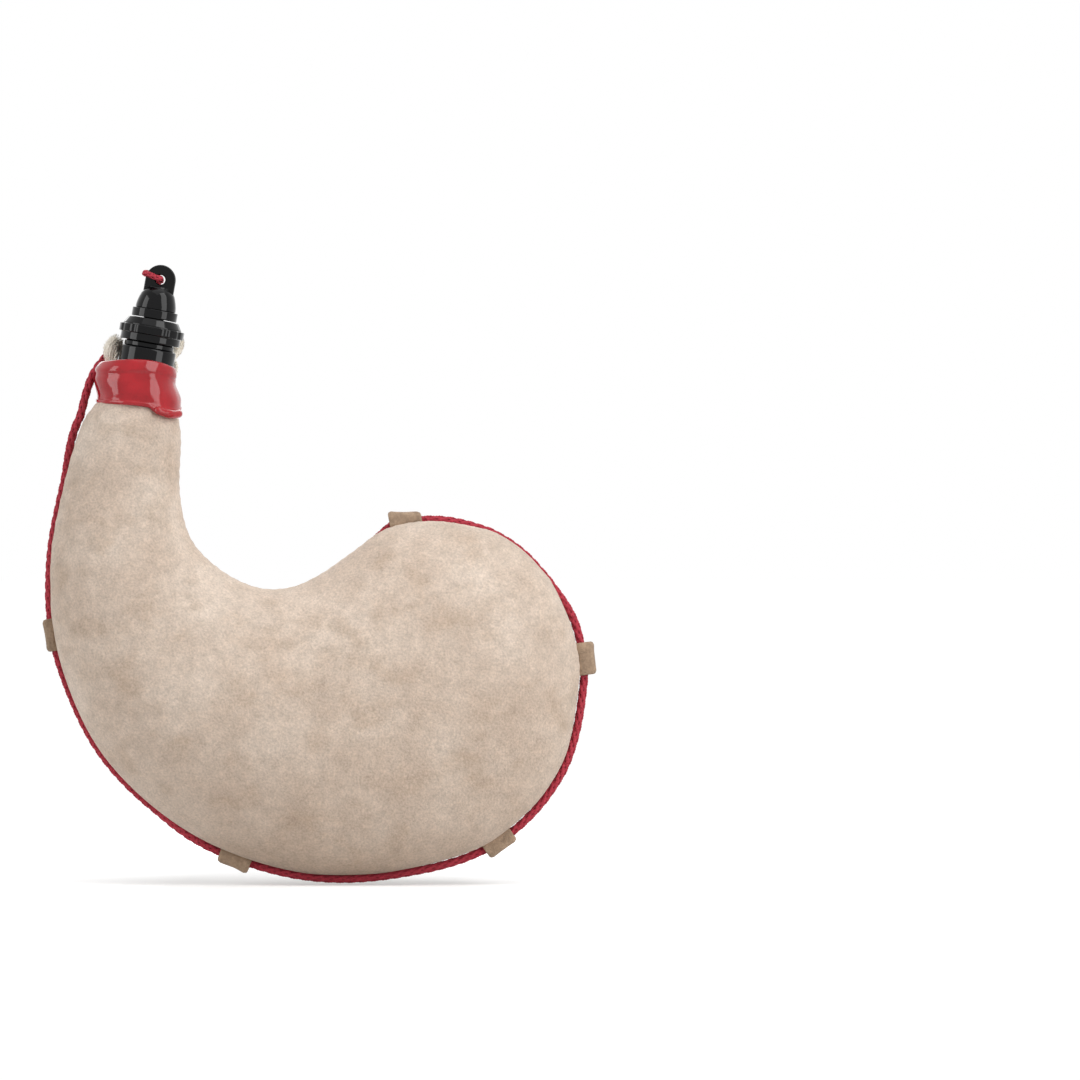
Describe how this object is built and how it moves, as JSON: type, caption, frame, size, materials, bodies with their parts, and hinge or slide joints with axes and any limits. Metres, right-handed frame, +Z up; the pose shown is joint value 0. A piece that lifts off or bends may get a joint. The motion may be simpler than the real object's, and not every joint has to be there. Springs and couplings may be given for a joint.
{
  "type": "leather bota bag",
  "caption": "Curved leather wine skin with a bound neck, a screw mouthpiece with a fine jet, a screw cap on a leash, and a cord strap run round its edge through leather loops",
  "frame": {"origin": "On the ground under the middle of the bag's box, with the bag upright as in the picture", "axes": "+Z up, -Y out of the front panel, +X to the right seen from the front"},
  "size_m": [0.2562, 0.073, 0.2851],
  "materials": {
    "suede": "pale brushed suede with faint darker blotches",
    "loop_suede": "browner suede strip",
    "latex": "dark smooth bladder",
    "natural_cord": "undyed braided cord",
    "red_braid": "dark red braided cord",
    "red_gloss": "glossy bright red",
    "black_gloss": "glossy black",
    "grey_rubber": "soft seal"
  },
  "bodies": {
    "bag": {"leather_front_panel": "suede", "leather_back_panel": "suede", "inner_liner": "latex", "seam_braid": "natural_cord", "braid_knot_left": "natural_cord", "braid_knot_right": "natural_cord", "neck_binding": "natural_cord", "red_collar": "red_gloss", "collar_tail": "red_gloss", "neck_insert": "black_gloss", "cap_leash": "red_braid", "strap_cord": "red_braid", "strap_neck_knot": "red_braid", "strap_end_knot": "red_braid", "loop_left": "loop_suede", "loop_bottom_left": "loop_suede", "loop_bottom_right": "loop_suede", "loop_right": "loop_suede", "loop_top": "loop_suede"},
    "mouthpiece_seal": {"mouthpiece_gasket": "grey_rubber"},
    "mouthpiece_head": {"mouthpiece": "black_gloss"},
    "cap_seal": {"cap_washer": "grey_rubber"},
    "cap_head": {"cap": "black_gloss", "leash_eye": "red_braid", "leash_knot": "red_braid"}
  },
  "joints": [
    {"name": "mouthpiece_lift", "type": "slide", "parent": "bag", "child": "mouthpiece_seal", "axis": [0.1736, 0, 0.9848], "range_m": [0, 0.01]},
    {"name": "mouthpiece_turn", "type": "hinge", "parent": "mouthpiece_seal", "child": "mouthpiece_head", "pos_m": [-0.08235, 0, 0.22102], "axis": [0.1736, 0, 0.9848], "range_deg": [0, 1440]},
    {"name": "cap_lift", "type": "slide", "parent": "mouthpiece_head", "child": "cap_seal", "axis": [0.1736, 0, 0.9848], "range_m": [0, 0.008]},
    {"name": "cap_turn", "type": "hinge", "parent": "cap_seal", "child": "cap_head", "pos_m": [-0.08235, 0, 0.22102], "axis": [0.1736, 0, 0.9848], "range_deg": [0, 1440]}
  ],
  "couplings": [
    {"joint": "mouthpiece_turn", "follows": "mouthpiece_lift", "rad_per_m": 2513.3},
    {"joint": "cap_turn", "follows": "cap_lift", "rad_per_m": 3141.6}
  ]
}
